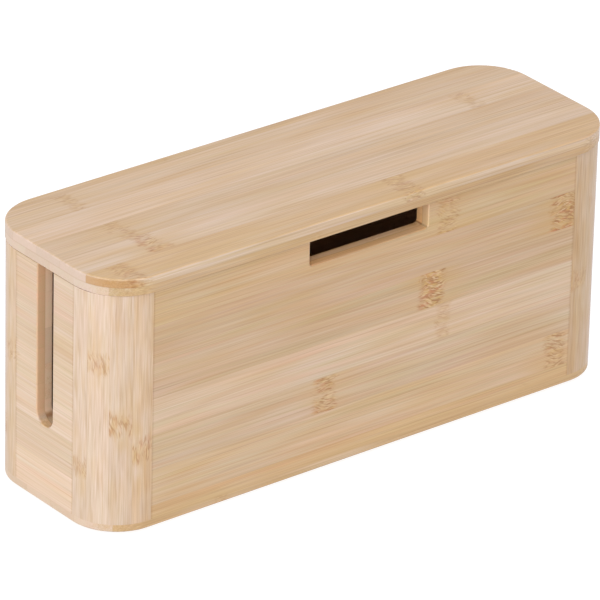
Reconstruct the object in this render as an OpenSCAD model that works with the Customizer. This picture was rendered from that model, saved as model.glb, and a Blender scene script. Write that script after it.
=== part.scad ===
// Bamboo cable box: four laminated walls between rounded corner posts, a base board and a lift-off lid.
// X runs along the box, Y from front to back and Z up. The origin is on the floor under the centre.

/* [Box] */
// Length over the two end walls
box_l = 320; // [240:1:420]
// Depth over the front and back walls
box_w = 100; // [90:1:160]
// Height from the underside of the base board to the top of the lid
box_h = 137; // [110:1:200]
// Radius of the upright outer corners
corner_r = 26; // [16:0.5:34]
// Thickness of a wall, both plies together
wall_t = 10; // [7:0.5:12]
// Easing along the outer upper edge of the walls
rim_ease = 0.5; // [0.3:0.1:1]
// Thickness of the base board
base_t = 4; // [3.5:0.5:10]
// Easing along the lower edge of the base board
base_ease = 0.8; // [0.4:0.1:1.5]

/* [Lid] */
// Thickness of the lid board, both plies together
lid_t = 9; // [8:0.5:16]
// Overhang of the lid past each end wall
lid_over_l = 0; // [0:0.1:3]
// Overhang of the lid past the front and back walls
lid_over_w = 2; // [0:0.1:3]
// Roundover along the upper edge of the lid
lid_round = 1.2; // [0.5:0.1:2.5]
// Easing along the lower edge of the lid
lid_ease = 0.5; // [0.3:0.1:1.5]
// Gap between the lid and the tops of the walls
lid_gap = 0.1; // [0.1:0.1:0.5]
// Width of a cleat, the strip under each end of the lid that keeps it in place
cleat_w = 12; // [9:0.5:20]
// Depth of a cleat below the lid
cleat_h = 8; // [5:0.5:15]
// Gap between a cleat and the walls around it
cleat_clear = 1; // [0.5:0.1:2]
// Rounding of a cleat's corners on the side away from the end wall
cleat_round = 3; // [1:0.5:4]

/* [Corner posts] */
// Flat part of a post next to its round, along the front and back
post_flat_l = 2; // [0.5:0.5:10]
// Flat part of a post next to its round, along the ends
post_flat_w = 0.5; // [0.5:0.5:6]
// Thickness of a spline, the loose tongue that joins a post and a panel
spline_t = 3; // [2:0.5:4]
// Width of a spline, half in the post and half in the panel
spline_w = 8; // [5:0.5:10]
// Glue space at the bottom of each spline groove
spline_clear = 0.2; // [0.1:0.1:0.5]

/* [Cable openings] */
// Width of the upright slot in each end
slot_w = 13; // [8:0.5:20]
// Height of the slot's rounded lower tip above the underside of the base board
slot_floor = 42; // [20:1:70]
// Width of the notch at the top of the front
notch_w = 74; // [30:1:120]
// Depth of the notch below the top of the wall
notch_h = 14.5; // [8:0.5:30]
// Radius of the notch's two lower corners
notch_r = 2; // [1:0.5:4]
// Roundover along the edges of the slots and the notch
opening_ease = 1; // [0.5:0.1:2]

/* [Screws] */
// Diameter of a wood screw over its thread
screw_d = 3; // [2.5:0.1:3.5]
// Diameter of a countersunk screw head
head_d = 5.6; // [5:0.1:6.5]
// Depth that a base screw reaches into the wall
base_bite = 11; // [8:0.5:16]
// Wood left between the tip of a cleat screw and the lid's upper ply
lid_skin = 1; // [0.5:0.1:2]
// Distance from the middle of a cleat to each of its two screws
cleat_screw_y = 22; // [8:0.5:26]
// Gap between a screw and its hole
screw_clear = 0.05; // [0.02:0.01:0.1]

/* [Feet] */
// Diameter of an anti-slip foot
foot_d = 12; // [8:0.5:18]
// Height of a foot
foot_h = 1.5; // [1:0.1:4]
// Rounding along the lower edge of a foot
foot_round = 0.5; // [0.2:0.1:0.8]
// Distance from the end of the box to the centre of a foot
foot_inset_l = 38; // [30:1:60]
// Distance from the front or back of the box to the centre of a foot
foot_inset_w = 17; // [14:0.5:30]

/* [Hidden] */

$fn = 96;
// Overcut that carries a cutter clear of the face it starts from
past = 1;

half_l = box_l / 2;
half_w = box_w / 2;
ply_t = wall_t / 2;
lid_ply_t = lid_t / 2;
inner_r = corner_r - wall_t;

// Heights above the floor
wall_z = foot_h + base_t;
wall_h = box_h - base_t - lid_gap - lid_t;
wall_top = wall_z + wall_h;
lid_z = wall_top + lid_gap;
lid_mid_z = lid_z + lid_ply_t;

// Length of the panels between the posts, and of the lid
long_panel_l = box_l - 2 * (corner_r + post_flat_l);
end_panel_l = box_w - 2 * (corner_r + post_flat_w);
lid_l = box_l + 2 * lid_over_l;
lid_w = box_w + 2 * lid_over_w;
lid_r = corner_r + max(lid_over_l, lid_over_w);

// The slot and the notch, measured up from the lower edge of a panel
slot_z = slot_floor - base_t;
notch_z = wall_h - notch_h;

// Groove for one half of a spline
groove_d = spline_w / 2 + spline_clear;

// The cleats fit the inside outline of the box with a gap all round
cleat_room_l = box_l - 2 * (wall_t + cleat_clear);
cleat_room_w = box_w - 2 * (wall_t + cleat_clear);
cleat_room_r = inner_r - cleat_clear;
cleat_x = cleat_room_l / 2 - cleat_w / 2;

// Screws: a countersunk head, a thread drawn as rings and a point
head_h = (head_d - screw_d) / 2;
thread_pitch = 1.2;
thread_core_d = screw_d - 0.8;
point_h = 2.4;
drive_w = 0.8;
drive_l = 3;
drive_h = 1.1;
cleat_screw_l = cleat_h + lid_ply_t - lid_skin;
base_screw_l = base_t + base_bite;

// Base screws: one into each post on the middle of its wall, and two into each long panel
post_screw_r = corner_r - wall_t / 2;
post_screw_x = half_l - corner_r + post_screw_r * cos(45);
post_screw_y = half_w - corner_r + post_screw_r * sin(45);
panel_screw_x = long_panel_l / 4;
panel_screw_y = half_w - ply_t;

foot_x = half_l - foot_inset_l;
foot_y = half_w - foot_inset_w;

// ---- Shared shapes ----

// Flat outline with four round corners
module round_rect(l, w, r) {
  square([l - 2 * r, w], center = true);
  square([l, w - 2 * r], center = true);
  for (x = [-1, 1], y = [-1, 1])
    translate([x * (l / 2 - r), y * (w / 2 - r)])
      circle(r);
}

// Section through a board's edge: reach by t, with its outer upper corner rounded
module rolled_section(reach, t, roll) {
  square([reach, t - roll]);
  square([reach - roll, t]);
  translate([reach - roll, t - roll])
    circle(roll);
}

// Section of a cutter that rounds an edge: the edge is at the origin, and the wood lies towards -x and -y
module edge_cut_section(roll) {
  translate([-roll, -roll])
    difference() {
      square(roll + past);
      circle(roll);
    }
}

// Board on z = 0 with round corners and a roundover along its upper edge
module rolled_board(l, w, r, t, roll) {
  straight_l = l - 2 * r;
  straight_w = w - 2 * r;
  linear_extrude(t)
    square([straight_l, straight_w], center = true);
  for (side = [0, 180])
    rotate(side) {
      translate([straight_l / 2, straight_w / 2, 0])
        rotate([90, 0, 0])
          linear_extrude(straight_w)
            rolled_section(r, t, roll);
      translate([-straight_l / 2, straight_w / 2, 0])
        rotate([90, 0, 90])
          linear_extrude(straight_l)
            rolled_section(r, t, roll);
    }
  for (x = [0, 1], y = [0, 1])
    mirror([x, 0, 0])
      mirror([0, y, 0])
        translate([straight_l / 2, straight_w / 2, 0])
          rotate_extrude(angle = 90)
            rolled_section(r, t, roll);
}

// Section of a cut: reach wide and depth deep, flaring out to the face at depth 0
module flared_section(reach, depth, flare) {
  translate([0, -past])
    square([reach + flare, past]);
  square([reach, depth]);
  difference() {
    square([reach + flare, flare]);
    translate([reach + flare, flare])
      circle(flare);
  }
}

// Cutter for an opening w wide in a ply that lies on its exposed face: its lower edge is on y = 0,
// its two lower corners have radius r, it is open towards +y, and its edges are rounded over
module opening_cut(w, h, r, depth, flare) {
  flat_w = w - 2 * r;
  for (side = [0, 1])
    mirror([side, 0, 0])
      translate([flat_w / 2, r, 0]) {
        rotate([-90, 0, 0])
          mirror([0, 1, 0])
            linear_extrude(h - r + past)
              flared_section(r, depth, flare);
        rotate(-90)
          rotate_extrude(angle = 90)
            flared_section(r, depth, flare);
      }
  if (flat_w > 0) {
    translate([-flat_w / 2, r, 0])
      rotate([90, 0, 90])
        mirror([1, 0, 0])
          linear_extrude(flat_w)
            flared_section(r, depth, flare);
    translate([-flat_w / 2, r, -past])
      cube([flat_w, h - r + past, depth + past]);
  }
}

// Puts a wall's own frame in place: x along the wall, y up it and z into its thickness
module on_wall(turn, distance) {
  rotate(turn)
    translate([0, -distance, wall_z])
      rotate([90, 0, 180])
        children();
}

module on_front() { on_wall(0, half_w) children(); }
module on_back() { on_wall(180, half_w) children(); }
module on_left() { on_wall(-90, half_l) children(); }
module on_right() { on_wall(90, half_l) children(); }

// Cutter that eases the outer upper edge of the walls all the way round
module rim_cutter() {
  straight_l = box_l - 2 * corner_r;
  straight_w = box_w - 2 * corner_r;
  translate([0, 0, wall_top]) {
    for (side = [0, 180])
      rotate(side) {
        translate([half_l, straight_w / 2, 0])
          rotate([90, 0, 0])
            linear_extrude(straight_w)
              edge_cut_section(rim_ease);
        translate([-straight_l / 2, half_w, 0])
          rotate([90, 0, 90])
            linear_extrude(straight_l)
              edge_cut_section(rim_ease);
      }
    for (x = [0, 1], y = [0, 1])
      mirror([x, 0, 0])
        mirror([0, y, 0])
          translate([straight_l / 2, straight_w / 2, 0])
            rotate_extrude(angle = 90)
              translate([corner_r, 0])
                edge_cut_section(rim_ease);
  }
}

module with_eased_rim() {
  difference() {
    children();
    rim_cutter();
  }
}

// Turns an outer ply over into the inner ply that is glued behind it
module as_inner() {
  translate([0, 0, wall_t])
    mirror([0, 0, 1])
      children();
}

// One ply of a wall with half of a spline groove at each end
module wall_ply(length) {
  difference() {
    translate([-length / 2, 0, 0])
      cube([length, wall_h, ply_t]);
    for (side = [0, 1])
      mirror([side, 0, 0])
        translate([length / 2 - groove_d, -past, ply_t - spline_t / 2])
          cube([groove_d + past, wall_h + 2 * past, spline_t]);
  }
}

// Ply of the front or back wall with the halves of its screw holes
module long_ply() {
  difference() {
    wall_ply(long_panel_l);
    for (x = [-1, 1])
      translate([x * panel_screw_x, -base_t, ply_t])
        rotate([-90, 0, 0])
          screw_hole(base_screw_l);
  }
}

module notched_ply() {
  difference() {
    long_ply();
    translate([0, notch_z, 0])
      opening_cut(notch_w, notch_h, notch_r, ply_t + past, opening_ease);
  }
}

module slotted_ply() {
  difference() {
    wall_ply(end_panel_l);
    translate([0, slot_z, 0])
      opening_cut(slot_w, wall_h - slot_z, slot_w / 2, ply_t + past, opening_ease);
  }
}

// Puts children made for the front left corner at one of the four corners
module at_corner(right, back) {
  mirror([right, 0, 0])
    mirror([0, back, 0])
      children();
}

// Section through the wall at the front left corner: a quarter ring and two short flats
module post_section() {
  translate([-half_l + corner_r, -half_w + corner_r]) {
    difference() {
      circle(corner_r);
      circle(inner_r);
      translate([0, -corner_r - past])
        square(2 * (corner_r + past));
      translate([-corner_r - past, 0])
        square(2 * (corner_r + past));
    }
    translate([0, -corner_r])
      square([post_flat_l, wall_t]);
    translate([-corner_r, 0])
      square([wall_t, post_flat_w]);
  }
}

module corner_post() {
  difference() {
    translate([0, 0, wall_z])
      linear_extrude(wall_h)
        post_section();
    translate([-long_panel_l / 2 - groove_d, -half_w + ply_t - spline_t / 2, wall_z - past])
      cube([groove_d + past, spline_t, wall_h + 2 * past]);
    translate([-half_l + ply_t - spline_t / 2, -end_panel_l / 2 - groove_d, wall_z - past])
      cube([spline_t, groove_d + past, wall_h + 2 * past]);
    translate([-post_screw_x, -post_screw_y, foot_h])
      screw_hole(base_screw_l);
  }
}

// The two splines at the front left corner
module corner_spline_pair() {
  translate([-long_panel_l / 2 - spline_w / 2, -half_w + ply_t - spline_t / 2, wall_z])
    cube([spline_w, spline_t, wall_h]);
  translate([-half_l + ply_t - spline_t / 2, -end_panel_l / 2 - spline_w / 2, wall_z])
    cube([spline_t, spline_w, wall_h]);
}

// Countersunk wood screw: its head is flush with z = 0 and its point is up at z = length
module wood_screw(length) {
  rings = floor((length - head_h - point_h) / thread_pitch);
  thread_h = rings * thread_pitch;
  thread_z = length - point_h - thread_h;
  profile = concat(
    [[0, 0], [head_d / 2, 0], [screw_d / 2, head_h], [thread_core_d / 2, thread_z]],
    [for (i = [0 : rings - 1], side = [0, 1])
      [side == 0 ? screw_d / 2 : thread_core_d / 2, thread_z + (i + (side + 1) / 2) * thread_pitch]],
    [[0, length]]
  );
  difference() {
    rotate_extrude()
      polygon(profile);
    for (turn = [0, 90])
      rotate(turn)
        translate([-drive_l / 2, -drive_w / 2, -past])
          cube([drive_l, drive_w, drive_h + past]);
  }
}

// Countersunk hole that a wood screw fits with a small gap
module screw_hole(length) {
  hole_r = screw_d / 2 + screw_clear;
  seat_r = head_d / 2 + screw_clear;
  translate([0, 0, -past])
    cylinder(h = past, r = seat_r);
  cylinder(h = head_h, r1 = seat_r, r2 = hole_r);
  cylinder(h = length + screw_clear, r = hole_r);
}

module at_base_screws() {
  for (x = [-1, 1], y = [-1, 1]) {
    translate([x * post_screw_x, y * post_screw_y, foot_h])
      children();
    translate([x * panel_screw_x, y * panel_screw_y, foot_h])
      children();
  }
}

module at_cleat_screws() {
  for (x = [-1, 1], y = [-1, 1])
    translate([x * cleat_x, y * cleat_screw_y, lid_z - cleat_h])
      children();
}

// Cleat under the right end of the lid, its outer corners following the inside of the box
module cleat() {
  difference() {
    translate([0, 0, lid_z - cleat_h])
      linear_extrude(cleat_h)
        intersection() {
          round_rect(cleat_room_l, cleat_room_w, cleat_room_r);
          translate([cleat_x + box_l / 2, 0])
            round_rect(cleat_w + box_l, cleat_room_w, cleat_round);
        }
    at_cleat_screws()
      screw_hole(cleat_screw_l);
  }
}

// Foot at the front left corner
module foot() {
  translate([-foot_x, -foot_y, foot_h])
    mirror([0, 0, 1])
      rotate_extrude()
        rolled_section(foot_d / 2, foot_h, foot_round);
}

// ---- Pieces ----

module lid_upper_ply() {
  color("#dcc09a")
    translate([0, 0, lid_mid_z])
      rolled_board(lid_l, lid_w, lid_r, lid_ply_t, lid_round);
}

module lid_lower_ply() {
  color("#cfa777")
    difference() {
      translate([0, 0, lid_mid_z])
        mirror([0, 0, 1])
          rolled_board(lid_l, lid_w, lid_r, lid_ply_t, lid_ease);
      at_cleat_screws()
        screw_hole(cleat_screw_l);
    }
}

module lid_cleat_right() { color("#d6b384") cleat(); }
module lid_cleat_left() { color("#d6b384") mirror([1, 0, 0]) cleat(); }

module lid_cleat_screws() {
  color("#b9bcc0")
    at_cleat_screws()
      wood_screw(cleat_screw_l);
}

module front_panel_outer_ply() { color("#d3b08a") with_eased_rim() on_front() notched_ply(); }
module front_panel_inner_ply() { color("#c9a47a") on_front() as_inner() notched_ply(); }
module back_panel_outer_ply() { color("#d3b08a") with_eased_rim() on_back() long_ply(); }
module back_panel_inner_ply() { color("#c9a47a") on_back() as_inner() long_ply(); }
module left_end_outer_ply() { color("#e6caaa") with_eased_rim() on_left() slotted_ply(); }
module left_end_inner_ply() { color("#c9a47a") on_left() as_inner() slotted_ply(); }
module right_end_outer_ply() { color("#e6caaa") with_eased_rim() on_right() slotted_ply(); }
module right_end_inner_ply() { color("#c9a47a") on_right() as_inner() slotted_ply(); }

module corner_post_front_left() { color("#e8cfae") with_eased_rim() at_corner(0, 0) corner_post(); }
module corner_post_front_right() { color("#e8cfae") with_eased_rim() at_corner(1, 0) corner_post(); }
module corner_post_back_left() { color("#e8cfae") with_eased_rim() at_corner(0, 1) corner_post(); }
module corner_post_back_right() { color("#e8cfae") with_eased_rim() at_corner(1, 1) corner_post(); }

module corner_splines() {
  color("#b98f5e")
    for (right = [0, 1], back = [0, 1])
      at_corner(right, back)
        corner_spline_pair();
}

module base_board() {
  color("#d6b384")
    difference() {
      translate([0, 0, wall_z])
        mirror([0, 0, 1])
          rolled_board(box_l, box_w, corner_r, base_t, base_ease);
      at_base_screws()
        screw_hole(base_screw_l);
    }
}

module base_screws() {
  color("#b9bcc0")
    at_base_screws()
      wood_screw(base_screw_l);
}

module foot_front_left() { color("#3a3a3a") at_corner(0, 0) foot(); }
module foot_front_right() { color("#3a3a3a") at_corner(1, 0) foot(); }
module foot_back_left() { color("#3a3a3a") at_corner(0, 1) foot(); }
module foot_back_right() { color("#3a3a3a") at_corner(1, 1) foot(); }

lid_upper_ply();
lid_lower_ply();
lid_cleat_left();
lid_cleat_right();
lid_cleat_screws();
front_panel_outer_ply();
front_panel_inner_ply();
back_panel_outer_ply();
back_panel_inner_ply();
left_end_outer_ply();
left_end_inner_ply();
right_end_outer_ply();
right_end_inner_ply();
corner_post_front_left();
corner_post_front_right();
corner_post_back_left();
corner_post_back_right();
corner_splines();
base_board();
base_screws();
foot_front_left();
foot_front_right();
foot_back_left();
foot_back_right();
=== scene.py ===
import math
import random
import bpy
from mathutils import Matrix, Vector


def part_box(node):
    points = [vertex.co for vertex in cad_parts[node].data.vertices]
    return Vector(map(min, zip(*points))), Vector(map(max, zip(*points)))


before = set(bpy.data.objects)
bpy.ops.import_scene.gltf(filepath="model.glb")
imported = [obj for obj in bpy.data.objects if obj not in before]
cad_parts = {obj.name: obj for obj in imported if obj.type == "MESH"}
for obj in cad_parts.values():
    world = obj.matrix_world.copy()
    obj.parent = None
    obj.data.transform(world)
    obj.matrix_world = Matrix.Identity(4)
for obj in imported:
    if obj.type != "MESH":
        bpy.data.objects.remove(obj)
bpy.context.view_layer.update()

from types import SimpleNamespace

import bpy
from mathutils import Matrix, Vector

# A bamboo cable box. Every piece of the frame keeps its shape and gets a procedural material here: bamboo
# for the boards, steel for the screws and rubber for the feet. Lengths are metres unless a comment says mm.

MM = 0.001
X_WAY = Vector((1, 0, 0))
Y_WAY = Vector((0, 1, 0))
Z_WAY = Vector((0, 0, 1))

# ---- Camera: where the object is seen from (lens and sensor in mm) ----

CAMERA_AZIMUTH = math.radians(-38.648)
CAMERA_ELEVATION = math.radians(26.466)
CAMERA_ROLL = math.radians(1.4354)
CAMERA_DISTANCE = 3.2671
CAMERA_LENS = 393.99
CAMERA_SENSOR = 36
# Furthest that the camera sees
CAMERA_SIGHT = 50
CAMERA_AIM = Vector((0, 0, 70.5 * MM))
# How far the camera is moved to its own right and up
CAMERA_SLIDE = (-2.30 * MM, -4.05 * MM)

# ---- Studio: a pale room, a white floor that glows a little, and a soft key light from the left ----

ROOM_DIM = (0.80, 0.76, 0.80)
ROOM_BRIGHT = (1.0, 1.03, 1.07)
ROOM_BRIGHT_WAY = Vector((-0.6, -0.1, 0.6))
ROOM_STRENGTH = 1.15
FLOOR_WIDTH = 8
FLOOR_GREY = (0.25, 0.25, 0.25, 1)
FLOOR_ROUGHNESS = 0.9
FLOOR_GLOW = 0.83
KEY_LIGHT = dict(turn=208, rise=25, reach=1.0, size=0.7, power=3.7, color=(0.88, 0.97, 1.1))

# ---- Screws and feet: light and dark tone, size of a grain in mm, roughness, and relief in mm ----

STEEL = dict(light=(0.62, 0.60, 0.56), dark=(0.44, 0.43, 0.41), grain=0.12, smoothest=0.20, roughest=0.42,
             relief=0.01, metallic=1.0)
RUBBER = dict(light=(0.050, 0.048, 0.046), dark=(0.026, 0.025, 0.025), grain=0.35, smoothest=0.55,
              roughest=0.85, relief=0.06)
MOTTLE_GRAINS = 8

# ---- Bamboo colours, linear ----

PALE_BAMBOO = (0.560, 0.408, 0.292)
GOLDEN_BAMBOO = (0.510, 0.318, 0.144)
NODE_GOLD = (0.47, 0.275, 0.075)
NODE_BROWN = (0.295, 0.135, 0.041)
NODE_RUST = (0.39, 0.145, 0.055)
NODE_CREAM = (0.64, 0.45, 0.26)

# ---- Tints: what a board's colour is multiplied by in a certain place; some are painted light and shade ----

PLAIN = (1.0, 1.0, 1.0)
# Eased edges: lighter partly from wear and partly as a painted highlight along them
WORN_AND_HIGHLIT = (1.13, 1.14, 1.18)
WORN_DULL = (0.93, 0.96, 1.00)
# Painted shade on the base board's eased edges, where the lower edge faces down to the floor
PAINTED_SHADE_UNDER_EDGE = (0.80, 0.80, 0.82)
# Painted light on the front panel's sawn faces below its rim, such as the notch floor, which lies in shade
PAINTED_LIGHT_ON_CUT = (1.54, 1.46, 1.42)
# Painted light on the cut faces inside the slots, which lie in shade; SLOT_SIDE and SLOT_FLOOR also warm
# them towards the golden colour of cut bamboo
SLOT_SIDE = (1.20, 1.04, 0.85)
SLOT_FLOOR = (1.25, 1.12, 0.87)
INNER_SLOT_SIDE = (1.48, 1.46, 1.40)
GLUE_LINE = (0.90, 0.87, 0.82)
JOINT_LINE = (0.87, 0.82, 0.76)
JOINT_BAND = (0.96, 0.93, 0.88)
STAINED_SIDE = (0.82, 0.69, 0.52)
# Painted shade on the faces inside the box, where the closed lid keeps the light out
SHADED_INSIDE = (0.66, 0.48, 0.38)

# ---- Gloss of the clear coat on bamboo ----

CLEAR_COAT = {
    "Coat Weight": 0.15, "Coat Roughness": 0.2,
    "Sheen Weight": 0.4, "Sheen Roughness": 0.15, "Sheen Tint": (0.45, 0.5, 1.0, 1),
}
BAMBOO_ROUGHNESS = 0.46

# ---- Patterns in bamboo ----
# How long the grains of each noise are along the fibres and how wide across them, mm, how many finer
# layers it has, and a shift across the fibres that keeps it from following another one.

# The fibres' own course, and their swirl round a node
MEANDER = dict(long=60, wide=9)
SWIRL = dict(long=5, wide=4)
# Light and dark along the fibres, from the finest to the broadest
THREADS = dict(long=55, wide=0.42, detail=0)
LINES = dict(long=70, wide=0.85, detail=1)
BANDS = dict(long=90, wide=2.4, detail=1)
DRIFTS = dict(long=110, wide=6, detail=0)
# Golden and pale stretches
CLOUDS = dict(long=50, wide=8, detail=1)
STREAKS = dict(long=80, wide=1.7, detail=1, shift=90)
# Pinkish stretches
BLUSH_CLOUDS = dict(long=100, wide=8, detail=1, shift=150)
BLUSH_STREAKS = dict(long=70, wide=1.6, detail=1, shift=210)
# A node's outline, and its thin places
RING_SWAY = dict(long=30, wide=5)
RING_JAGS = dict(long=8, wide=0.9)
RING_PATCHES = dict(long=9, wide=3.2, shift=30)
# What is in a node: slanted brown dashes (long in terms of the board's dash length), cream flecks,
# gold and blots of rust
SLANT = dict(long=14, wide=9, detail=0)
DASHES = dict(long=1, wide=0.75, detail=1)
FLECKS = dict(long=3.6, wide=0.7, detail=1, shift=50)
GILT = dict(long=12, wide=3.5)
BLOTS = dict(long=7, wide=3, shift=70)
# Worn places along the eased edges, which also take a painted highlight, and painted shade on the base board
EDGE_WEAR_AND_LIGHT = dict(long=14, wide=3)

# How far apart in the noises two strips lie, mm
STRIPS_APART = 37.7

# ---- Places on the box, mm ----

PANEL_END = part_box("front_panel_outer_ply")[1][0] / MM
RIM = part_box("front_panel_outer_ply")[1][2] / MM
WALL_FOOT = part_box("front_panel_outer_ply")[0][2] / MM
INSIDE_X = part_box("right_end_inner_ply")[0][0] / MM
INSIDE_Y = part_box("back_panel_inner_ply")[0][1] / MM
POST_CORNER = [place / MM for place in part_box("corner_post_back_right")[1]]
# Radius of the box's upright corners
POST_RADIUS = 26

# ---- Boards ----
# grain: the way the fibres run; across: the way the strips lie side by side; first: where the first
# strip starts, mm; seed: sets one board's figure apart from another's; strip: the strips' width, mm.
# Each strip is (lightness, warmth, place of its bamboo node along the grain in mm, the node's strength).
# second_node: (strip, place, strength) of another node on one strip, with a stain on the board's side
# beyond it. contrast: how strongly the fibres show; fibre_length and dash_length: how long the fibres'
# streaks are, as a share of the usual, and a node's dashes, mm; blush: how pinkish the wood gets in places.
# rounded: the board is a post with a round face; butted: its ends meet the posts; rim: the height of the
# wall's upper edge, which takes no edge_tint. face_tint, edge_tint, end_tint and the tint of the worn places:
# the tints of the board's broad faces, its sawn edges, its cross-cut ends and the worn places along its eased
# edges. Some of them paint light and shade: painted shade on the inside faces, painted light on the cut faces
# in the slots and the notch, and on the worn places a painted highlight, which is painted shade on the base
# board.

STRIP = 19.35
POST_STRIP = 11.1
ABOVE_ALL = 1000

# Furthest that a bamboo node lies from the middle of the object, mm
NODE_REACH = 200

USUAL_BOARD = dict(strip=STRIP, contrast=0.85, fibre_length=1.0, dash_length=4.2, blush=0.05,
                   second_node=None, rounded=False, butted=False, rim=ABOVE_ALL, face_tint=PLAIN,
                   edge_tint=PLAIN, end_tint=PLAIN, worn_tint=WORN_AND_HIGHLIT)


def drawn_strips(seed, count, warmth=0.58):
    """Strips whose tones and nodes are drawn by chance, the same ones each time."""
    chance = random.Random(seed)
    return [(chance.uniform(0.39, 0.51), warmth + chance.uniform(-0.2, 0.2), chance.uniform(-140, 140),
             chance.uniform(0.2, 0.5)) for _ in range(count)]


def long_board(across, first, seed, strips, **more):
    return dict(grain=X_WAY, across=across, first=first, seed=seed, strips=strips, **more)


def end_board(seed, strips, first=WALL_FOOT, **more):
    return dict(grain=Y_WAY, across=Z_WAY, first=first, seed=seed, strips=strips, **more)


def post(side_x, side_y, seed, strips):
    """A corner post, whose strips lie square to the diagonal through its corner."""
    across = Vector((-side_x, side_y, 0)).normalized()
    centre_x, centre_y = (place - POST_RADIUS for place in POST_CORNER[:2])
    middle = across.dot(Vector((side_x * centre_x, side_y * centre_y, 0)))
    return dict(grain=Z_WAY, across=across, first=middle - 2 * POST_STRIP, seed=seed, strips=strips,
                strip=POST_STRIP, fibre_length=0.3, dash_length=7, contrast=0.87, blush=0.03, rounded=True)


BOARDS = {
    # The upper ply's edge tint makes its sawn sides paler and cooler: partly their own colour, partly a
    # painted  highlight along the front roundover
    "lid_upper_ply": long_board(Y_WAY, -50.9, 3, [
        (0.48, 0.86, 26, 0.62), (0.49, 0.42, -113, 0.72), (0.46, 0.57, -117, 0.45),
        (0.52, 0.45, 115.6, 0.38), (0.47, 0.60, -119, 0.40), (0.44, 0.80, -55, 0.20)],
        second_node=(0, -141.6, 0.58), contrast=0.82, blush=0.03,
        edge_tint=(1.0, 1.11, 1.43), end_tint=(0.94, 0.95, 1.04)),
    "lid_lower_ply": long_board(Y_WAY, -61.65, 17, [
        (0.37, 0.86, -35, 0.2), (0.46, 0.30, 80, 0.4), (0.45, 0.62, -60, 0.4),
        (0.42, 0.70, 20, 0.4), (0.47, 0.55, -100, 0.4), (0.43, 0.80, 60, 0.4)],
        end_tint=(0.99, 1.02, 1.10)),
    # The front panel's edge tint paints light on the notch floor, which lies in shade; its end tint paints
    # light  on the notch's right wall and also warms it towards the golden colour of cut bamboo
    "front_panel_outer_ply": long_board(Z_WAY, -6.55, 29, [
        (0.46, 1.00, 103, 0.10), (0.45, 0.65, 123, 0.75), (0.40, 0.53, -26.4, 0.80),
        (0.46, 0.36, 48, 0.35), (0.37, 0.62, 40.6, 1.00), (0.36, 0.71, 124, 1.00),
        (0.41, 0.83, 50, 0.65)],
        contrast=0.76, blush=0.08, butted=True, rim=RIM,
        edge_tint=PAINTED_LIGHT_ON_CUT, end_tint=(1.45, 1.37, 1.19), worn_tint=WORN_DULL),
    # The inner ply's face tint is painted shade inside the box; its edge and end tints paint light on its cut
    # faces in the notch, which lie in shade, and the end tint is also warmer
    "front_panel_inner_ply": long_board(
        Z_WAY, -15, 43, drawn_strips(2, 8), rim=RIM,
        face_tint=SHADED_INSIDE, edge_tint=(1.53, 1.58, 1.69), end_tint=(1.63, 1.38, 0.94)),
    "back_panel_outer_ply": long_board(Z_WAY, 0, 57, drawn_strips(3, 7), butted=True),
    "back_panel_inner_ply": long_board(Z_WAY, -9, 71, drawn_strips(4, 8), face_tint=SHADED_INSIDE),
    "base_board": long_board(Y_WAY, -63.35, 83, [
        (0.42, 1.00, -90, 0.3), (0.50, 0.25, 30, 0.4), (0.46, 0.60, 110, 0.5),
        (0.50, 0.45, -20, 0.4), (0.45, 0.65, 70, 0.5), (0.48, 0.50, -60, 0.4)],
        worn_tint=PAINTED_SHADE_UNDER_EDGE),
    # The end walls' plies take painted light, with some golden colour, on the cut faces of their slots, and
    # their inner plies take painted shade on the faces inside the box
    "left_end_outer_ply": end_board(97, [
        (0.57, 0.22, 40, 0.0), (0.46, 0.25, 44, 0.2), (0.50, 0.21, 38, 0.2), (0.48, 0.27, 26, 0.3),
        (0.45, 0.38, 60, 0.0), (0.45, 0.32, 36, 0.2), (0.45, 0.34, 70, 0.0)],
        contrast=0.66, blush=0.07, butted=True, rim=RIM,
        edge_tint=SLOT_FLOOR, end_tint=SLOT_SIDE, worn_tint=WORN_DULL),
    "left_end_inner_ply": end_board(
        113, drawn_strips(5, 8, warmth=0.4), first=-4, face_tint=SHADED_INSIDE, end_tint=INNER_SLOT_SIDE),
    "right_end_outer_ply": end_board(
        127, drawn_strips(6, 7), butted=True, rim=RIM,
        edge_tint=SLOT_FLOOR, end_tint=SLOT_SIDE, worn_tint=WORN_DULL),
    "right_end_inner_ply": end_board(
        139, drawn_strips(7, 8), first=-4, face_tint=SHADED_INSIDE, end_tint=INNER_SLOT_SIDE),
    "corner_post_front_left": post(-1, -1, 151, [
        (0.47, 0.14, 33, 0.45), (0.50, 0.00, 92, 0.58), (0.44, 0.20, 59, 0.60), (0.48, 0.38, 45, 0.64)]),
    "corner_post_front_right": post(1, -1, 163, [
        (0.44, 0.42, 84, 0.5), (0.44, 0.42, 30, 0.5), (0.38, 0.54, 98, 0.25), (0.38, 0.54, 58, 0.45)]),
    "corner_post_back_left": post(-1, 1, 179, [
        (0.44, 0.42, 74, 0.5), (0.42, 0.38, 30, 0.6), (0.44, 0.25, 102, 0.5), (0.45, 0.25, 52, 0.4)]),
    "corner_post_back_right": post(1, 1, 191, [
        (0.42, 0.52, 40, 0.5), (0.44, 0.42, 88, 0.7), (0.43, 0.48, 62, 0.6), (0.41, 0.60, 110, 0.4)]),
    "corner_splines": dict(grain=Z_WAY, across=X_WAY, first=-160, seed=211, strips=drawn_strips(8, 17)),
    "lid_cleat_left": dict(grain=Y_WAY, across=X_WAY, first=-152, seed=223, strips=drawn_strips(9, 1)),
    "lid_cleat_right": dict(grain=Y_WAY, across=X_WAY, first=135, seed=227, strips=drawn_strips(10, 1)),
}


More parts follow.
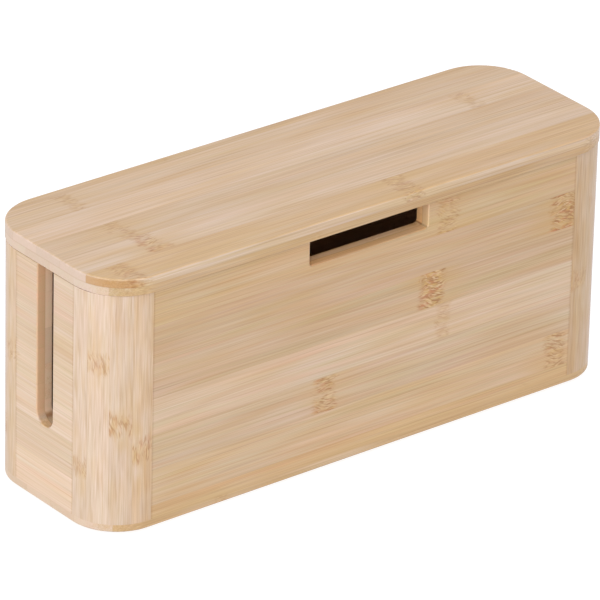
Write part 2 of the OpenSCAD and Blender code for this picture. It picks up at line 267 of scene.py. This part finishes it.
class Nodes:
    """Adds nodes to a tree. An input is a number, a colour, or the output that feeds it."""

    def __init__(self, tree):
        self.tree = tree

    def feed(self, socket, value):
        if isinstance(value, bpy.types.NodeSocket):
            self.tree.links.new(value, socket)
        else:
            socket.default_value = value

    def add(self, kind, *values, **settings):
        node = self.tree.nodes.new(kind)
        for name, value in settings.items():
            setattr(node, name, value)
        for socket, value in zip(node.inputs, values):
            self.feed(socket, value)
        return node

    def math(self, operation, *values):
        return self.add("ShaderNodeMath", *values, operation=operation).outputs[0]

    def product(self, first, *others):
        for other in others:
            first = self.math("MULTIPLY", first, other)
        return first

    def total(self, first, *others):
        for other in others:
            first = self.math("ADD", first, other)
        return first

    def between(self, share, start, end):
        """Goes straight from start to end as share goes from 0 to 1."""
        return self.math("MULTIPLY_ADD", share, end - start, start)

    def step(self, value, start, end):
        """Goes smoothly from 0 to 1 as value goes from start to end."""
        node = self.add("ShaderNodeMapRange", value, start, end, 0, 1, interpolation_type="SMOOTHSTEP")
        return node.outputs[0]

    def dot(self, vector, way):
        node = self.add("ShaderNodeVectorMath", vector, tuple(way), operation="DOT_PRODUCT")
        return node.outputs["Value"]

    def vector(self, x, y, z):
        return self.add("ShaderNodeCombineXYZ", x, y, z).outputs[0]

    def noise(self, along, across, depth, long, wide, detail=2, shift=0):
        """Noise whose grains are long (mm) along the fibres and wide (mm) across them."""
        moved = self.math("ADD", across, shift)
        place = self.vector(self.math("DIVIDE", along, long), self.math("DIVIDE", moved, wide),
                            self.math("DIVIDE", depth, wide))
        node = self.add("ShaderNodeTexNoise", place)
        node.inputs["Scale"].default_value = 1
        node.inputs["Detail"].default_value = detail
        return node.outputs[0]

    def swing(self, noise, size):
        """Turns noise into a value that goes up to about size to each side of zero."""
        return self.math("MULTIPLY", self.math("SUBTRACT", noise, 0.5), 2 * size)

    def mix(self, share, a, b):
        """Goes from colour a to colour b as share goes from 0 to 1."""
        node = self.add("ShaderNodeMix", share, data_type="RGBA")
        for socket, value in ((node.inputs[6], a), (node.inputs[7], b)):
            self.feed(socket, (*value, 1) if isinstance(value, tuple) else value)
        return node.outputs[2]

    def tinted(self, color, tint):
        return self.add("ShaderNodeVectorMath", color, tint, operation="MULTIPLY").outputs[0]

    def brightened(self, color, factor):
        node = self.add("ShaderNodeVectorMath", color, operation="SCALE")
        self.feed(node.inputs["Scale"], factor)
        return node.outputs[0]

    def toned(self, color, light):
        """Lightens bamboo as light goes above 1 and browns it below: blue changes most and red least."""
        red_power, green_power, blue_power = 1.0, 1.3, 1.8
        return self.tinted(color, self.vector(self.math("POWER", light, red_power),
                                              self.math("POWER", light, green_power),
                                              self.math("POWER", light, blue_power)))


# ---- The figure of bamboo ----

def fibre_wood(n, given, spot):
    """The colour of bamboo between its nodes."""
    bands = n.noise(spot.run, spot.fibre, spot.depth, **BANDS)
    drifts = n.noise(spot.run, spot.fibre, spot.depth, **DRIFTS)
    streaks = n.noise(spot.run, spot.fibre, spot.depth, **STREAKS)
    drift = n.total(n.swing(spot.clouds, size=0.55), n.swing(streaks, size=0.45))
    warmth = n.total(given["Warmth"], n.product(drift, given["Contrast"]))
    wood = n.mix(warmth, PALE_BAMBOO, GOLDEN_BAMBOO)

    line_dark, groove_dark = -0.11, -0.05
    ripple = n.total(n.swing(spot.threads, size=0.18), n.swing(bands, size=0.04), n.swing(drifts, size=0.05),
                     n.product(spot.dark_line, line_dark))
    light = n.total(n.product(ripple, given["Contrast"]), n.product(spot.groove, groove_dark), 1)
    wood = n.brightened(n.toned(wood, light), n.math("ADD", given["Lightness"], 0.5))

    blush = n.total(n.swing(n.noise(spot.run, spot.fibre, spot.depth, **BLUSH_CLOUDS), size=0.6),
                    n.swing(n.noise(spot.run, spot.fibre, spot.depth, **BLUSH_STREAKS), size=0.5))
    blush = n.product(blush, given["Blush"])
    return n.tinted(wood, n.vector(n.total(blush, 1), n.math("SUBTRACT", 1, blush), 1.0))


def node_ring(n, spot):
    """The patch that a bamboo node covers: how strong it is, and how far from its middle a place lies, mm."""
    sway = n.total(n.swing(n.noise(spot.along, spot.across, spot.depth, **RING_SWAY), size=4),
                   n.swing(n.noise(spot.along, spot.across, spot.depth, **RING_JAGS), size=4))
    off_middle = n.math("ABSOLUTE", n.total(spot.from_node, sway))
    patches = n.step(n.noise(spot.along, spot.across, spot.depth, **RING_PATCHES), 0.34, 0.50)
    half_width = n.between(spot.strength, 4, 10)
    fade = n.step(off_middle, half_width, n.product(half_width, 0.4))
    return n.product(fade, spot.strength, n.between(patches, 0.25, 1)), off_middle


def node_marked(n, wood, spot):
    """Adds a bamboo node's gold, rust, brown dashes and cream flecks to the colour of the wood."""
    slant = n.total(n.swing(n.noise(spot.along, spot.across, spot.depth, **SLANT), size=0.8), 0.2)
    slanted = n.math("MULTIPLY_ADD", spot.from_node, slant, spot.fibre)
    dashes = n.step(n.noise(spot.dash_run, slanted, spot.depth, **DASHES), 0.44, 0.62)
    flecks = n.step(n.noise(spot.along, slanted, spot.depth, **FLECKS), 0.50, 0.66)
    gilt = n.step(n.noise(spot.along, spot.across, spot.depth, **GILT), 0.40, 0.62)
    blots = n.step(n.noise(spot.along, spot.across, spot.depth, **BLOTS), 0.46, 0.64)
    ring, off_middle = node_ring(n, spot)

    rust_share, cream_share, halo_share = 0.85, 0.55, 0.28
    near = n.step(spot.near_node, 28, 5)
    halo = n.product(near, n.step(spot.clouds, 0.3, 0.6), spot.strength, halo_share)
    fringe = n.step(off_middle, 2.5, 6)
    wood = n.mix(n.total(n.product(ring, n.between(gilt, 0.15, 0.63)), halo), wood, NODE_GOLD)
    wood = n.mix(n.product(ring, spot.strength, blots, rust_share), wood, NODE_RUST)
    wood = n.mix(n.product(ring, dashes, n.between(fringe, 0.95, 1.10)), wood, NODE_BROWN)
    wood = n.mix(n.product(ring, flecks, cream_share), wood, NODE_CREAM)
    return wood, ring, dashes


def bamboo_figure():
    """The node group that draws strips of bamboo. Its lengths are mm."""
    tree = bpy.data.node_groups.new("bamboo_figure", "ShaderNodeTree")
    for name in ("Along", "Across", "Depth", "Strip", "Edge", "Lightness", "Warmth", "Node Place",
                 "Node Strength", "Contrast", "Fibre Length", "Dash Length", "Blush"):
        tree.interface.new_socket(name, in_out="INPUT", socket_type="NodeSocketFloat")
    tree.interface.new_socket("Color", in_out="OUTPUT", socket_type="NodeSocketColor")
    tree.interface.new_socket("Roughness", in_out="OUTPUT", socket_type="NodeSocketFloat")
    tree.interface.new_socket("Height", in_out="OUTPUT", socket_type="NodeSocketFloat")
    n = Nodes(tree)
    given = n.add("NodeGroupInput").outputs

    spot = SimpleNamespace(along=given["Along"], across=given["Across"], strength=given["Node Strength"])
    spot.depth = n.math("MULTIPLY_ADD", given["Strip"], STRIPS_APART, given["Depth"])
    spot.run = n.math("DIVIDE", spot.along, given["Fibre Length"])
    spot.dash_run = n.math("DIVIDE", spot.along, given["Dash Length"])
    spot.from_node = n.math("SUBTRACT", spot.along, given["Node Place"])
    spot.near_node = n.math("ABSOLUTE", spot.from_node)
    meander = n.swing(n.noise(spot.run, spot.across, spot.depth, **MEANDER), size=0.6)
    swirl = n.product(n.swing(n.noise(spot.along, spot.across, spot.depth, **SWIRL), size=0.6),
                      n.step(spot.near_node, 12, 2), spot.strength)
    spot.fibre = n.total(spot.across, meander, swirl)
    spot.threads = n.noise(spot.run, spot.fibre, spot.depth, **THREADS)
    lines = n.noise(spot.run, spot.fibre, spot.depth, **LINES)
    spot.clouds = n.noise(spot.run, spot.fibre, spot.depth, **CLOUDS)
    spot.dark_line = n.step(lines, 0.50, 0.70)
    spot.groove = n.step(given["Edge"], 0.3, 0.05)

    wood, ring, dashes = node_marked(n, fibre_wood(n, given, spot), spot)
    roughness = n.total(n.swing(lines, size=0.10), n.product(ring, 0.08), BAMBOO_ROUGHNESS)
    height = n.total(n.product(spot.threads, 0.02), n.product(spot.dark_line, -0.012),
                     n.product(ring, dashes, -0.03), n.product(spot.groove, -0.03))

    result = n.add("NodeGroupOutput").inputs
    n.feed(result["Color"], wood)
    n.feed(result["Roughness"], roughness)
    n.feed(result["Height"], height)
    return tree


# ---- Boards and their materials ----

def chosen_strip(n, board, spot):
    """The strip at a spot: its number, how far its edge is, its tone and its node."""
    count = len(board.strips)
    position = n.math("DIVIDE", n.math("SUBTRACT", spot.across, board.first), board.strip)
    number = n.math("MINIMUM", n.math("MAXIMUM", n.math("FLOOR", position), 0), count - 1)
    edge = n.math("MULTIPLY", n.math("PINGPONG", position, 0.5), board.strip)

    # A ramp with one stop for each strip, whose colour and alpha hold the strip's four values
    chooser = n.add("ShaderNodeValToRGB", n.math("DIVIDE", n.math("ADD", number, 0.5), count))
    ramp = chooser.color_ramp
    ramp.interpolation = "CONSTANT"
    ramp.elements.remove(ramp.elements[1])
    for index, (lightness, warmth, node_place, strength) in enumerate(board.strips):
        stop = ramp.elements[0] if index == 0 else ramp.elements.new(index / count)
        stop.color = (lightness, warmth, strength, 0.5 + node_place / (2 * NODE_REACH))
    lightness, warmth, strength = n.add("ShaderNodeSeparateColor", chooser.outputs["Color"]).outputs
    node_place = n.math("MULTIPLY", n.math("SUBTRACT", chooser.outputs["Alpha"], 0.5), 2 * NODE_REACH)

    if board.second_node:
        second_strip, second_place, second_strength = board.second_node
        first_place, first_strength = board.strips[second_strip][2:]
        spot.on_second = n.math("COMPARE", number, second_strip, 0.5)
        beyond = n.math("LESS_THAN", spot.along, (first_place + second_place) / 2)
        changed = n.product(spot.on_second, beyond)
        node_place = n.total(node_place, n.product(changed, second_place - first_place))
        strength = n.total(strength, n.product(changed, second_strength - first_strength))
    return SimpleNamespace(number=number, edge=edge, lightness=lightness, warmth=warmth,
                           node_place=node_place, strength=strength)


def surface_tint(n, board, spot):
    """What the colour is multiplied by on a board's faces, edges and ends, and on its worn and stained
    places. Some of it is painted light and shade: painted shade on the inside faces, painted light on the cut
    faces in the slots and the notch, and on the worn places a painted highlight, which is painted shade on
    the base board."""
    below_rim = n.step(spot.across, board.rim - 1, board.rim - 2)
    edge_tint = n.mix(below_rim, PLAIN, board.edge_tint)
    tint = n.mix(spot.on_end, n.mix(spot.on_edge, board.face_tint, edge_tint), board.end_tint)
    tint = n.tinted(tint, n.mix(spot.worn, PLAIN, board.worn_tint))
    if board.second_node:
        second_place = board.second_node[1]
        off_face = n.step(spot.face, 0.7, 0.4)
        beyond = n.step(spot.along, second_place + 5, second_place - 3)
        tint = n.mix(n.product(spot.on_second, beyond, off_face), tint, STAINED_SIDE)
    return tint


def glue_plane(name, depth_way):
    """Where the glue line of a board of two plies lies, mm along depth_way."""
    wall = name.rsplit("_", 2)[0]
    plies = [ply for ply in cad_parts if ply.startswith(wall) and ply.endswith("_ply")]
    reaches = [depth_way.dot(Vector(corner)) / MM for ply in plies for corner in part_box(ply)]
    return (min(reaches) + max(reaches)) / 2


def joint_tint(n, name, board, spot, tint):
    """Darkens a tint along the glue line between two plies and where a panel's end meets a post."""
    if name.endswith("_ply"):
        plane = glue_plane(name, board.grain.cross(board.across))
        off_glue = n.math("ABSOLUTE", n.math("SUBTRACT", spot.depth, plane))
        glued = n.product(n.step(off_glue, 0.45, 0.1), n.step(spot.face, 0.5, 0.3))
        tint = n.tinted(tint, n.mix(glued, PLAIN, GLUE_LINE))
    if board.butted:
        end_place = board.grain.dot(Vector(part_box(name)[1])) / MM
        beside_end = n.step(n.math("ABSOLUTE", spot.along), end_place - 1.2, end_place - 0.4)
        at_butt = n.product(beside_end, n.step(spot.face, 0.7, 0.9))
        tint = n.tinted(tint, n.mix(at_butt, PLAIN, JOINT_LINE))
    return tint


def post_tint(n, spot, tint):
    """Darkens a post's tint beside the long panels, and paints shade on its round inside."""
    beside = n.math("ABSOLUTE", n.dot(spot.place, X_WAY / MM))
    behind = n.math("ABSOLUTE", n.dot(spot.place, Y_WAY / MM))
    band = n.step(beside, PANEL_END + 5, PANEL_END + 3.5)
    tint = n.tinted(tint, n.mix(band, PLAIN, JOINT_BAND))
    outward = n.math("MAXIMUM", n.math("SUBTRACT", beside, INSIDE_X), n.math("SUBTRACT", behind, INSIDE_Y))
    inside = n.product(n.step(outward, 0.3, 0.05), n.math("SUBTRACT", 1, spot.on_end))
    return n.tinted(tint, n.mix(inside, PLAIN, SHADED_INSIDE))


def find_spot(n, board):
    """Where a point lies in a board, mm, and how squarely its surface faces the grain (end), the way across
    (sawn_edge) and the board's thickness (face)."""
    place = n.add("ShaderNodeTexCoord").outputs["Object"]
    normal = n.add("ShaderNodeTexCoord").outputs["Normal"]
    ways = (board.grain, board.across, board.grain.cross(board.across))
    along, across, depth = (n.dot(place, way / MM) for way in ways)
    end, sawn_edge, face = (n.math("ABSOLUTE", n.dot(normal, way)) for way in ways)
    if board.rounded:
        face = n.math("SQRT", n.math("SUBTRACT", 1, n.product(end, end)))
    squarest = n.math("MAXIMUM", n.math("MAXIMUM", end, face), sawn_edge)
    eased = n.product(n.step(squarest, 0.98, 0.85), n.step(face, 0.05, 0.2))
    # Patches along the eased edges: rougher from wear, and tinted with a painted highlight, and on the base
    # board with painted shade
    worn = n.product(eased, n.step(n.noise(along, across, depth, **EDGE_WEAR_AND_LIGHT), 0.3, 0.6))
    on_end = n.product(n.step(end, 0.4, 0.8), n.step(sawn_edge, 0.7, 0.25))
    on_edge = n.step(sawn_edge, 0.6, 0.95)
    return SimpleNamespace(place=place, along=along, across=across, depth=depth, face=face, worn=worn,
                           on_end=on_end, on_edge=on_edge)


def bamboo(name, figure):
    """A board's material: its strips lie side by side, and each has its own tone and its own node."""
    board = SimpleNamespace(**{**USUAL_BOARD, **BOARDS[name]})
    material = bpy.data.materials.new(name + "_wood")
    material.use_nodes = True
    n = Nodes(material.node_tree)
    shader = material.node_tree.nodes["Principled BSDF"]
    spot = find_spot(n, board)
    strip = chosen_strip(n, board, spot)
    tint = joint_tint(n, name, board, spot, surface_tint(n, board, spot))
    if board.rounded:
        tint = post_tint(n, spot, tint)

    # Cross-cut ends show few fibres and a paler wood, and sawn edges show more fibres
    fibres_shown = n.total(1, n.product(spot.on_end, -0.8), n.product(spot.on_edge, 0.3))
    drawn = n.add("ShaderNodeGroup", node_tree=figure)
    figure_inputs = {
        "Along": spot.along, "Across": spot.across, "Depth": spot.depth,
        "Strip": n.total(strip.number, board.seed), "Edge": strip.edge,
        "Lightness": strip.lightness, "Warmth": n.product(strip.warmth, n.between(spot.on_end, 1, 0.4)),
        "Node Place": strip.node_place, "Node Strength": strip.strength,
        "Contrast": n.product(fibres_shown, board.contrast),
        "Fibre Length": board.fibre_length, "Dash Length": board.dash_length, "Blush": board.blush,
    }
    for socket_name, value in figure_inputs.items():
        n.feed(drawn.inputs[socket_name], value)

    bump = n.add("ShaderNodeBump")
    bump.inputs["Distance"].default_value = MM
    n.feed(bump.inputs["Height"], drawn.outputs["Height"])
    n.feed(shader.inputs["Base Color"], n.tinted(drawn.outputs["Color"], tint))
    n.feed(shader.inputs["Roughness"], n.total(drawn.outputs["Roughness"], n.product(spot.worn, 0.06)))
    n.feed(shader.inputs["Normal"], bump.outputs[0])
    for socket_name, value in CLEAR_COAT.items():
        shader.inputs[socket_name].default_value = value
    return material


def grained(name, light, dark, grain, smoothest, roughest, relief, metallic=0.0):
    """A material that is mottled from light to dark in grains of a size in mm, with relief mm of bump."""
    material = bpy.data.materials.new(name)
    material.use_nodes = True
    n = Nodes(material.node_tree)
    shader = material.node_tree.nodes["Principled BSDF"]
    place = n.add("ShaderNodeTexCoord").outputs["Object"]
    right, away, up = (n.dot(place, way / MM) for way in (X_WAY, Y_WAY, Z_WAY))
    mottle = n.noise(right, away, up, long=grain * MOTTLE_GRAINS, wide=grain * MOTTLE_GRAINS)
    pits = n.noise(right, away, up, long=grain, wide=grain, detail=3)
    darkness = n.step(n.total(mottle, n.swing(pits, size=0.3)), 0.3, 0.7)
    bump = n.add("ShaderNodeBump")
    bump.inputs["Distance"].default_value = relief * MM
    n.feed(bump.inputs["Height"], pits)
    n.feed(shader.inputs["Base Color"], n.mix(darkness, light, dark))
    n.feed(shader.inputs["Roughness"], n.between(pits, smoothest, roughest))
    n.feed(shader.inputs["Normal"], bump.outputs[0])
    shader.inputs["Metallic"].default_value = metallic
    return material


def finish_pieces():
    """Gives every piece its material."""
    figure = bamboo_figure()
    steel = grained("screw_steel", **STEEL)
    rubber = grained("foot_rubber", **RUBBER)
    for name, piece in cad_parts.items():
        piece.data.materials.clear()
        if name in BOARDS:
            piece.data.materials.append(bamboo(name, figure))
        else:
            piece.data.materials.append(steel if "screws" in name else rubber)


# ---- Camera, floor and light ----

def add_camera():
    level = math.cos(CAMERA_ELEVATION)
    back = Vector((math.sin(CAMERA_AZIMUTH) * level, -math.cos(CAMERA_AZIMUTH) * level,
                   math.sin(CAMERA_ELEVATION)))
    right = (-back).cross(Z_WAY).normalized()
    up = right.cross(-back)
    tilt_right = right * math.cos(CAMERA_ROLL) + up * math.sin(CAMERA_ROLL)
    tilt_up = up * math.cos(CAMERA_ROLL) - right * math.sin(CAMERA_ROLL)
    slide = tilt_right * CAMERA_SLIDE[0] + tilt_up * CAMERA_SLIDE[1]
    data = bpy.data.cameras.new("camera")
    data.sensor_fit = "HORIZONTAL"
    data.sensor_width = CAMERA_SENSOR
    data.lens = CAMERA_LENS
    data.clip_end = CAMERA_SIGHT
    camera = bpy.data.objects.new("camera", data)
    turn = Matrix((tilt_right, tilt_up, back)).transposed()
    camera.matrix_world = Matrix.Translation(CAMERA_AIM + back * CAMERA_DISTANCE + slide) @ turn.to_4x4()
    bpy.context.scene.collection.objects.link(camera)
    bpy.context.scene.camera = camera


def add_floor():
    bpy.ops.mesh.primitive_plane_add(size=FLOOR_WIDTH)
    floor = bpy.context.object
    floor.name = "floor"
    material = bpy.data.materials.new("floor_white")
    material.use_nodes = True
    shader = material.node_tree.nodes["Principled BSDF"]
    shader.inputs["Base Color"].default_value = FLOOR_GREY
    shader.inputs["Roughness"].default_value = FLOOR_ROUGHNESS
    shader.inputs["Emission Color"].default_value = (1, 1, 1, 1)
    shader.inputs["Emission Strength"].default_value = FLOOR_GLOW
    floor.data.materials.append(material)


def add_room():
    """A pale room that is brighter at the upper left and dimmer at the lower right."""
    world = bpy.data.worlds.new("world")
    world.use_nodes = True
    n = Nodes(world.node_tree)
    way = n.add("ShaderNodeTexCoord").outputs["Generated"]
    share = n.step(n.dot(way, ROOM_BRIGHT_WAY), -0.9, 0.9)
    background = world.node_tree.nodes["Background"]
    n.feed(background.inputs["Color"], n.mix(share, ROOM_DIM, ROOM_BRIGHT))
    background.inputs["Strength"].default_value = ROOM_STRENGTH
    bpy.context.scene.world = world


def add_softbox(name, turn, rise, reach, size, power, color):
    """A square light that faces the object: turn and rise are its direction in degrees, and reach is its
    distance."""
    turn, rise = math.radians(turn), math.radians(rise)
    way = Vector((math.cos(turn) * math.cos(rise), math.sin(turn) * math.cos(rise), math.sin(rise)))
    data = bpy.data.lights.new(name, "AREA")
    data.size = size
    data.energy = power
    data.color = color
    light = bpy.data.objects.new(name, data)
    aim = way.to_track_quat("Z", "Y").to_matrix().to_4x4()
    light.matrix_world = Matrix.Translation(CAMERA_AIM + way * reach) @ aim
    bpy.context.scene.collection.objects.link(light)


add_camera()
finish_pieces()
add_floor()
add_room()
add_softbox("key", **KEY_LIGHT)
bpy.context.scene.view_settings.view_transform = "Standard"
